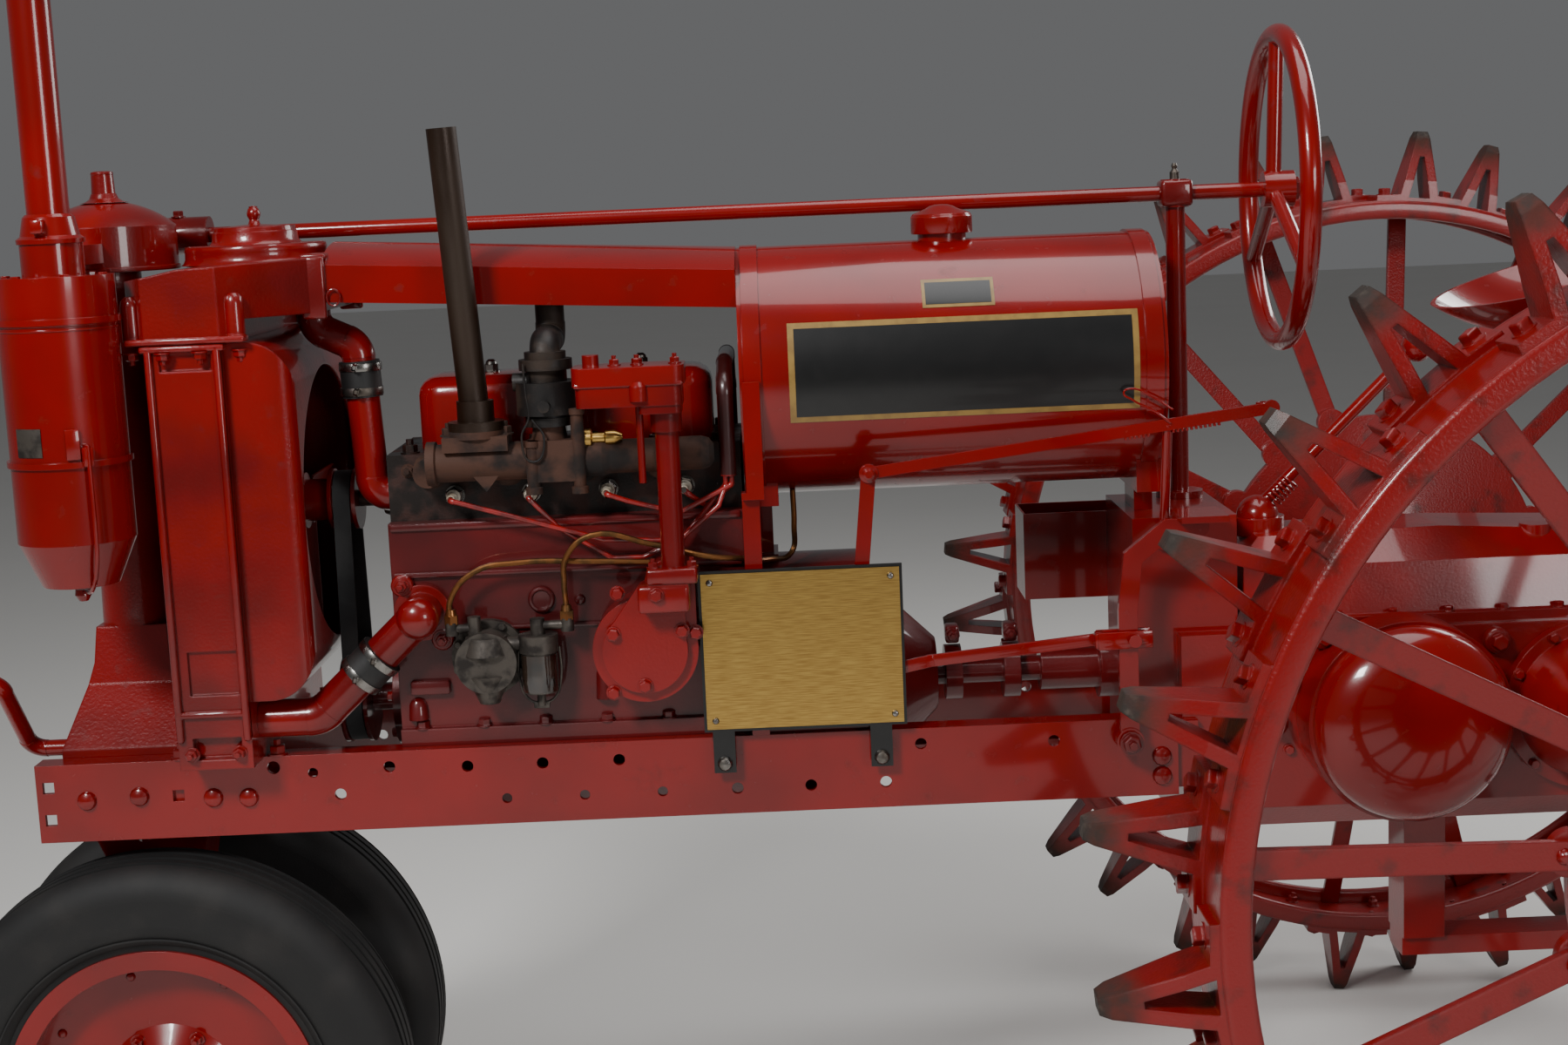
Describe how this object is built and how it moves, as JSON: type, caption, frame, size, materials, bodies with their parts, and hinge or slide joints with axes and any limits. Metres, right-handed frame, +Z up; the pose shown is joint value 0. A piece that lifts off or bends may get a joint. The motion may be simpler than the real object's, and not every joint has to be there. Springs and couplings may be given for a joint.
{
  "type": "vintage row-crop tractor",
  "caption": "Unstyled row-crop farm tractor with a narrow twin front on rubber tyres, open engine and lugged steel rear wheels.",
  "frame": {"origin": "centre of the footprint box on the floor", "axes": "+X forward, +Y to the left, +Z up"},
  "size_m": [3.149, 2.032, 1.96],
  "materials": {
    "red_paint": "gloss",
    "rim_paint": "satin, worn on the lugs",
    "black_paint": "satin",
    "core_black": "matt",
    "head_iron": "dark, oily",
    "rusty_iron": "rusted",
    "grey_metal": "dull cast",
    "bright_steel": "worn",
    "copper_tube": "drawn tube",
    "brass_sheet": "brushed",
    "hose_rubber": "matt",
    "belt_rubber": "matt",
    "wire_cover": "satin",
    "porcelain": "glazed",
    "tyre_rubber": "matt"
  },
  "bodies": {
    "chassis": {"frame_rails": "red_paint", "front_column": "red_paint", "steering_gear_case": "red_paint", "steering_post": "red_paint", "radiator_core": "core_black", "radiator_casting": "red_paint", "radiator_top_tank": "red_paint", "fan_shroud": "red_paint", "water_pipes": "red_paint", "water_hoses": "hose_rubber", "engine_block": "red_paint", "cylinder_head": "head_iron", "valve_cover": "red_paint", "manifold": "rusty_iron", "exhaust_pipe": "rusty_iron", "carburettor": "grey_metal", "governor_drive": "red_paint", "fuel_pump": "grey_metal", "fuel_lines": "copper_tube", "spark_plugs": "porcelain", "plug_wires": "wire_cover", "bell_housing": "red_paint", "clutch_shaft": "red_paint", "clutch_pedal": "red_paint", "hood": "red_paint", "fuel_tank": "red_paint", "tank_supports": "red_paint", "control_rod": "red_paint", "tool_tray": "red_paint", "transmission_case": "red_paint", "transmission_cover": "red_paint", "axle_housings": "red_paint", "brake_covers": "red_paint", "gearshift_lever": "red_paint", "seat": "red_paint", "drawbar": "red_paint", "name_plate": "brass_sheet", "plate_bracket": "black_paint", "air_cleaner": "red_paint", "hand_crank": "red_paint", "fan_belt": "belt_rubber"},
    "front_steer": {"front_axle": "red_paint"},
    "front_wheel_left": {"front_rim_left": "red_paint", "front_tyre_left": "tyre_rubber"},
    "front_wheel_right": {"front_rim_right": "red_paint", "front_tyre_right": "tyre_rubber"},
    "rear_wheel_left": {"rear_rim_left": "rim_paint", "rear_spokes_left": "red_paint"},
    "rear_wheel_right": {"rear_rim_right": "rim_paint", "rear_spokes_right": "red_paint"},
    "steering": {"steering_wheel": "red_paint"},
    "fan_rotor": {"fan": "red_paint"}
  },
  "joints": [
    {"name": "front_steer", "type": "hinge", "parent": "chassis", "child": "front_steer", "pos_m": [1.272, 0, 0.7], "axis": [0, 0, 1], "range_deg": [-60, 60]},
    {"name": "front_wheel_left", "type": "hinge", "parent": "front_steer", "child": "front_wheel_left", "pos_m": [1.238, 0.143, 0.33926], "axis": [0, 0.9994, -0.0349], "continuous": true},
    {"name": "front_wheel_right", "type": "hinge", "parent": "front_steer", "child": "front_wheel_right", "pos_m": [1.238, -0.143, 0.33926], "axis": [0, 0.9994, 0.0349], "continuous": true},
    {"name": "rear_wheel_left", "type": "hinge", "parent": "chassis", "child": "rear_wheel_left", "pos_m": [-0.766, 0.94, 0.80698], "axis": [0, 1, 0], "continuous": true},
    {"name": "rear_wheel_right", "type": "hinge", "parent": "chassis", "child": "rear_wheel_right", "pos_m": [-0.766, -0.94, 0.80698], "axis": [0, 1, 0], "continuous": true},
    {"name": "steering", "type": "hinge", "parent": "chassis", "child": "steering", "pos_m": [-0.395, -0.072, 1.53], "axis": [0.9997, -0.0231, 0], "range_deg": [-480, 480]},
    {"name": "fan_spin", "type": "hinge", "parent": "chassis", "child": "fan_rotor", "pos_m": [0.963, 0, 1.148], "axis": [1, 0, 0], "continuous": true}
  ],
  "couplings": [
    {"joint": "steering", "follows": "front_steer", "ratio": -8}
  ]
}
